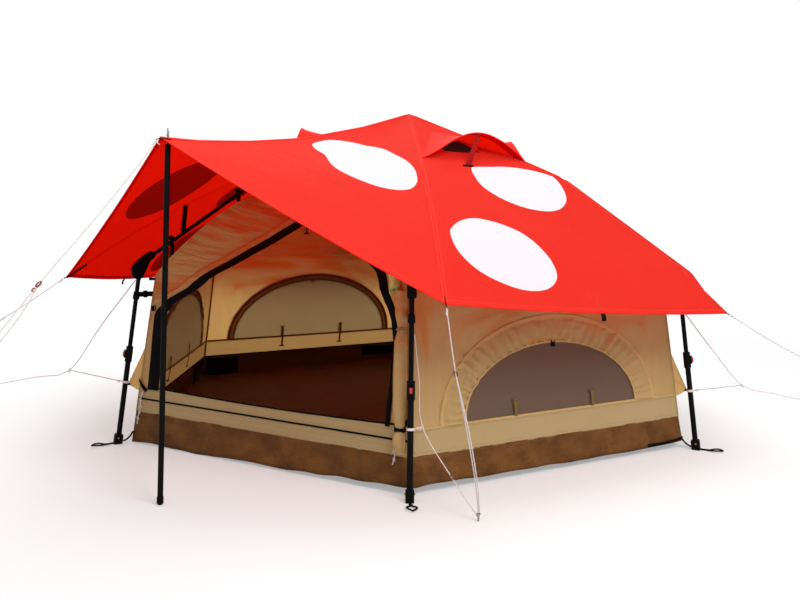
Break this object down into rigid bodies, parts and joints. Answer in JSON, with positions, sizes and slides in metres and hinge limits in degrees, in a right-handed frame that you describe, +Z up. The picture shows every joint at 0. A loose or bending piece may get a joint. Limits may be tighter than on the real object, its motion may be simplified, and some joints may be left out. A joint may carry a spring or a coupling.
{
  "type": "instant tent",
  "caption": "Instant tent with a folding hub frame on telescopic legs, a hexagonal inner tent with windows and a rolled door, and a spotted fly with vents, porch pole and guy lines.",
  "frame": {"origin": "on the ground under the hub's axis, at the centre of the groundsheet's flat underside", "axes": "+Z up, the door and porch face -Y, +X to the right seen from behind the door"},
  "size_m": [4.5653, 4.8587, 1.8997],
  "materials": {
    "black_tube": "black, satin",
    "black_plastic": "black, moulded",
    "red_plastic": "orange red",
    "red_cloth": "woven, red with white spots",
    "tan_cloth": "woven, khaki",
    "brown_cloth": "coated, dark brown",
    "steel": "bright",
    "cord": "pale braided line"
  },
  "bodies": {
    "tent_base": {"floor_tub": "brown_cloth", "wall_front": "tan_cloth", "wall_front_right": "tan_cloth", "wall_back_right": "tan_cloth", "wall_back": "tan_cloth", "wall_back_left": "tan_cloth", "wall_front_left": "tan_cloth", "door_panel_rolled": "tan_cloth", "guy_peg": "steel", "guy_tip": "cord", "guy_front_left_fly": "cord", "guy_front_left_leg": "cord", "guy_front_right_fly": "cord", "guy_front_right_leg": "cord", "guy_right_fly": "cord", "guy_right_leg": "cord", "guy_left_leg": "cord", "guy_back_right_leg": "cord"},
    "hub": {"hub_body": "black_plastic", "hub_cap": "black_plastic", "fly": "red_cloth", "inner_roof": "tan_cloth"},
    "porch_pole": {"porch_pole_lower": "black_tube", "porch_pole_upper": "black_tube"},
    "upper_right": {"roof_pole_upper_right": "black_tube"},
    "lower_right": {"roof_pole_lower_right": "black_tube"},
    "leg_right": {"leg_upper_right": "black_tube"},
    "leg_end_right": {"leg_lower_right": "black_tube", "leg_foot_right": "black_plastic"},
    "button_right": {"lock_button_right": "red_plastic"},
    "upper_back_right": {"roof_pole_upper_back_right": "black_tube"},
    "lower_back_right": {"roof_pole_lower_back_right": "black_tube"},
    "leg_back_right": {"leg_upper_back_right": "black_tube"},
    "leg_end_back_right": {"leg_lower_back_right": "black_tube", "leg_foot_back_right": "black_plastic"},
    "button_back_right": {"lock_button_back_right": "red_plastic"},
    "upper_back_left": {"roof_pole_upper_back_left": "black_tube"},
    "lower_back_left": {"roof_pole_lower_back_left": "black_tube"},
    "leg_back_left": {"leg_upper_back_left": "black_tube"},
    "leg_end_back_left": {"leg_lower_back_left": "black_tube", "leg_foot_back_left": "black_plastic"},
    "button_back_left": {"lock_button_back_left": "red_plastic"},
    "upper_left": {"roof_pole_upper_left": "black_tube"},
    "lower_left": {"roof_pole_lower_left": "black_tube"},
    "leg_left": {"leg_upper_left": "black_tube"},
    "leg_end_left": {"leg_lower_left": "black_tube", "leg_foot_left": "black_plastic"},
    "button_left": {"lock_button_left": "red_plastic"},
    "upper_front_left": {"roof_pole_upper_front_left": "black_tube"},
    "lower_front_left": {"roof_pole_lower_front_left": "black_tube"},
    "leg_front_left": {"leg_upper_front_left": "black_tube"},
    "leg_end_front_left": {"leg_lower_front_left": "black_tube", "leg_foot_front_left": "black_plastic"},
    "button_front_left": {"lock_button_front_left": "red_plastic"},
    "upper_front_right": {"roof_pole_upper_front_right": "black_tube"},
    "lower_front_right": {"roof_pole_lower_front_right": "black_tube"},
    "leg_front_right": {"leg_upper_front_right": "black_tube"},
    "leg_end_front_right": {"leg_lower_front_right": "black_tube", "leg_foot_front_right": "black_plastic"},
    "button_front_right": {"lock_button_front_right": "red_plastic"}
  },
  "joints": [
    {"name": "hub_drop", "type": "slide", "parent": "tent_base", "child": "hub", "axis": [0, 0, -1], "range_m": [0, 0.5685], "deforming": ["fly", "inner_roof", "wall_front", "wall_front_right", "wall_back_right", "wall_back", "wall_back_left", "wall_front_left", "floor_tub", "door_panel_rolled", "guy_tip", "guy_front_left_fly", "guy_front_left_leg", "guy_front_right_fly", "guy_front_right_leg", "guy_right_fly", "guy_right_leg", "guy_left_leg", "guy_back_right_leg"]},
    {"name": "hub_hinge_right", "type": "hinge", "parent": "hub", "child": "upper_right", "pos_m": [0.085, 0, 1.8], "axis": [0, -1, 0], "range_deg": [-69.52, 0]},
    {"name": "knee_right", "type": "hinge", "parent": "upper_right", "child": "lower_right", "pos_m": [1.05538, 0, 1.45427], "axis": [0, -1, 0], "range_deg": [0, 194.02]},
    {"name": "elbow_right", "type": "hinge", "parent": "lower_right", "child": "leg_right", "pos_m": [1.68718, 0, 0.97879], "axis": [0, -1, 0], "range_deg": [-132.72, 0]},
    {"name": "leg_slide_right", "type": "slide", "parent": "leg_right", "child": "leg_end_right", "axis": [-0.1426, 0, 0.9898], "range_m": [0, 0.2558]},
    {"name": "lock_press_right", "type": "slide", "parent": "leg_end_right", "child": "button_right", "axis": [-0.9898, 0, -0.1426], "range_m": [0, 0.004], "stiffness_N_per_m": 900},
    {"name": "hub_hinge_back_right", "type": "hinge", "parent": "hub", "child": "upper_back_right", "pos_m": [0.0425, 0.07361, 1.8], "axis": [0.866, -0.5, 0], "range_deg": [-69.52, 0]},
    {"name": "knee_back_right", "type": "hinge", "parent": "upper_back_right", "child": "lower_back_right", "pos_m": [0.52769, 0.91398, 1.45427], "axis": [0.866, -0.5, 0], "range_deg": [0, 194.02]},
    {"name": "elbow_back_right", "type": "hinge", "parent": "lower_back_right", "child": "leg_back_right", "pos_m": [0.84359, 1.46114, 0.97879], "axis": [0.866, -0.5, 0], "range_deg": [-132.72, 0]},
    {"name": "leg_slide_back_right", "type": "slide", "parent": "leg_back_right", "child": "leg_end_back_right", "axis": [-0.0713, -0.1235, 0.9898], "range_m": [0, 0.2558]},
    {"name": "lock_press_back_right", "type": "slide", "parent": "leg_end_back_right", "child": "button_back_right", "axis": [-0.4949, -0.8572, -0.1426], "range_m": [0, 0.004], "stiffness_N_per_m": 900},
    {"name": "hub_hinge_back_left", "type": "hinge", "parent": "hub", "child": "upper_back_left", "pos_m": [-0.0425, 0.07361, 1.8], "axis": [0.866, 0.5, 0], "range_deg": [-69.52, 0]},
    {"name": "knee_back_left", "type": "hinge", "parent": "upper_back_left", "child": "lower_back_left", "pos_m": [-0.52769, 0.91398, 1.45427], "axis": [0.866, 0.5, 0], "range_deg": [0, 194.02]},
    {"name": "elbow_back_left", "type": "hinge", "parent": "lower_back_left", "child": "leg_back_left", "pos_m": [-0.84359, 1.46114, 0.97879], "axis": [0.866, 0.5, 0], "range_deg": [-132.72, 0]},
    {"name": "leg_slide_back_left", "type": "slide", "parent": "leg_back_left", "child": "leg_end_back_left", "axis": [0.0713, -0.1235, 0.9898], "range_m": [0, 0.2558]},
    {"name": "lock_press_back_left", "type": "slide", "parent": "leg_end_back_left", "child": "button_back_left", "axis": [0.4949, -0.8572, -0.1426], "range_m": [0, 0.004], "stiffness_N_per_m": 900},
    {"name": "hub_hinge_left", "type": "hinge", "parent": "hub", "child": "upper_left", "pos_m": [-0.085, 0, 1.8], "axis": [0, 1, 0], "range_deg": [-69.52, 0]},
    {"name": "knee_left", "type": "hinge", "parent": "upper_left", "child": "lower_left", "pos_m": [-1.05538, 0, 1.45427], "axis": [0, 1, 0], "range_deg": [0, 194.02]},
    {"name": "elbow_left", "type": "hinge", "parent": "lower_left", "child": "leg_left", "pos_m": [-1.68718, 0, 0.97879], "axis": [0, 1, 0], "range_deg": [-132.72, 0]},
    {"name": "leg_slide_left", "type": "slide", "parent": "leg_left", "child": "leg_end_left", "axis": [0.1426, 0, 0.9898], "range_m": [0, 0.2558]},
    {"name": "lock_press_left", "type": "slide", "parent": "leg_end_left", "child": "button_left", "axis": [0.9898, 0, -0.1426], "range_m": [0, 0.004], "stiffness_N_per_m": 900},
    {"name": "hub_hinge_front_left", "type": "hinge", "parent": "hub", "child": "upper_front_left", "pos_m": [-0.0425, -0.07361, 1.8], "axis": [-0.866, 0.5, 0], "range_deg": [-69.52, 0]},
    {"name": "knee_front_left", "type": "hinge", "parent": "upper_front_left", "child": "lower_front_left", "pos_m": [-0.52769, -0.91398, 1.45427], "axis": [-0.866, 0.5, 0], "range_deg": [0, 194.02]},
    {"name": "elbow_front_left", "type": "hinge", "parent": "lower_front_left", "child": "leg_front_left", "pos_m": [-0.84359, -1.46114, 0.97879], "axis": [-0.866, 0.5, 0], "range_deg": [-132.72, 0]},
    {"name": "leg_slide_front_left", "type": "slide", "parent": "leg_front_left", "child": "leg_end_front_left", "axis": [0.0713, 0.1235, 0.9898], "range_m": [0, 0.2558]},
    {"name": "lock_press_front_left", "type": "slide", "parent": "leg_end_front_left", "child": "button_front_left", "axis": [0.4949, 0.8572, -0.1426], "range_m": [0, 0.004], "stiffness_N_per_m": 900},
    {"name": "hub_hinge_front_right", "type": "hinge", "parent": "hub", "child": "upper_front_right", "pos_m": [0.0425, -0.07361, 1.8], "axis": [-0.866, -0.5, 0], "range_deg": [-69.52, 0]},
    {"name": "knee_front_right", "type": "hinge", "parent": "upper_front_right", "child": "lower_front_right", "pos_m": [0.52769, -0.91398, 1.45427], "axis": [-0.866, -0.5, 0], "range_deg": [0, 194.02]},
    {"name": "elbow_front_right", "type": "hinge", "parent": "lower_front_right", "child": "leg_front_right", "pos_m": [0.84359, -1.46114, 0.97879], "axis": [-0.866, -0.5, 0], "range_deg": [-132.72, 0]},
    {"name": "leg_slide_front_right", "type": "slide", "parent": "leg_front_right", "child": "leg_end_front_right", "axis": [-0.0713, 0.1235, 0.9898], "range_m": [0, 0.2558]},
    {"name": "lock_press_front_right", "type": "slide", "parent": "leg_end_front_right", "child": "button_front_right", "axis": [-0.4949, 0.8572, -0.1426], "range_m": [0, 0.004], "stiffness_N_per_m": 900},
    {"name": "porch_pole_tilt", "type": "hinge", "parent": "tent_base", "child": "porch_pole", "pos_m": [0, -2.21, 0.0155], "axis": [1, 0, 0], "range_deg": [0, 93.06]}
  ],
  "couplings": [
    {"joint": "hub_hinge_right", "follows": "hub_drop", "rad_per_m": -2.1337},
    {"joint": "knee_right", "follows": "hub_drop", "rad_per_m": 5.9559},
    {"joint": "elbow_right", "follows": "hub_drop", "rad_per_m": -4.074},
    {"joint": "hub_hinge_back_right", "follows": "hub_drop", "rad_per_m": -2.1337},
    {"joint": "knee_back_right", "follows": "hub_drop", "rad_per_m": 5.9559},
    {"joint": "elbow_back_right", "follows": "hub_drop", "rad_per_m": -4.074},
    {"joint": "hub_hinge_back_left", "follows": "hub_drop", "rad_per_m": -2.1337},
    {"joint": "knee_back_left", "follows": "hub_drop", "rad_per_m": 5.9559},
    {"joint": "elbow_back_left", "follows": "hub_drop", "rad_per_m": -4.074},
    {"joint": "hub_hinge_left", "follows": "hub_drop", "rad_per_m": -2.1337},
    {"joint": "knee_left", "follows": "hub_drop", "rad_per_m": 5.9559},
    {"joint": "elbow_left", "follows": "hub_drop", "rad_per_m": -4.074},
    {"joint": "hub_hinge_front_left", "follows": "hub_drop", "rad_per_m": -2.1337},
    {"joint": "knee_front_left", "follows": "hub_drop", "rad_per_m": 5.9559},
    {"joint": "elbow_front_left", "follows": "hub_drop", "rad_per_m": -4.074},
    {"joint": "hub_hinge_front_right", "follows": "hub_drop", "rad_per_m": -2.1337},
    {"joint": "knee_front_right", "follows": "hub_drop", "rad_per_m": 5.9559},
    {"joint": "elbow_front_right", "follows": "hub_drop", "rad_per_m": -4.074},
    {"joint": "porch_pole_tilt", "follows": "hub_drop", "rad_per_m": 2.8564}
  ]
}
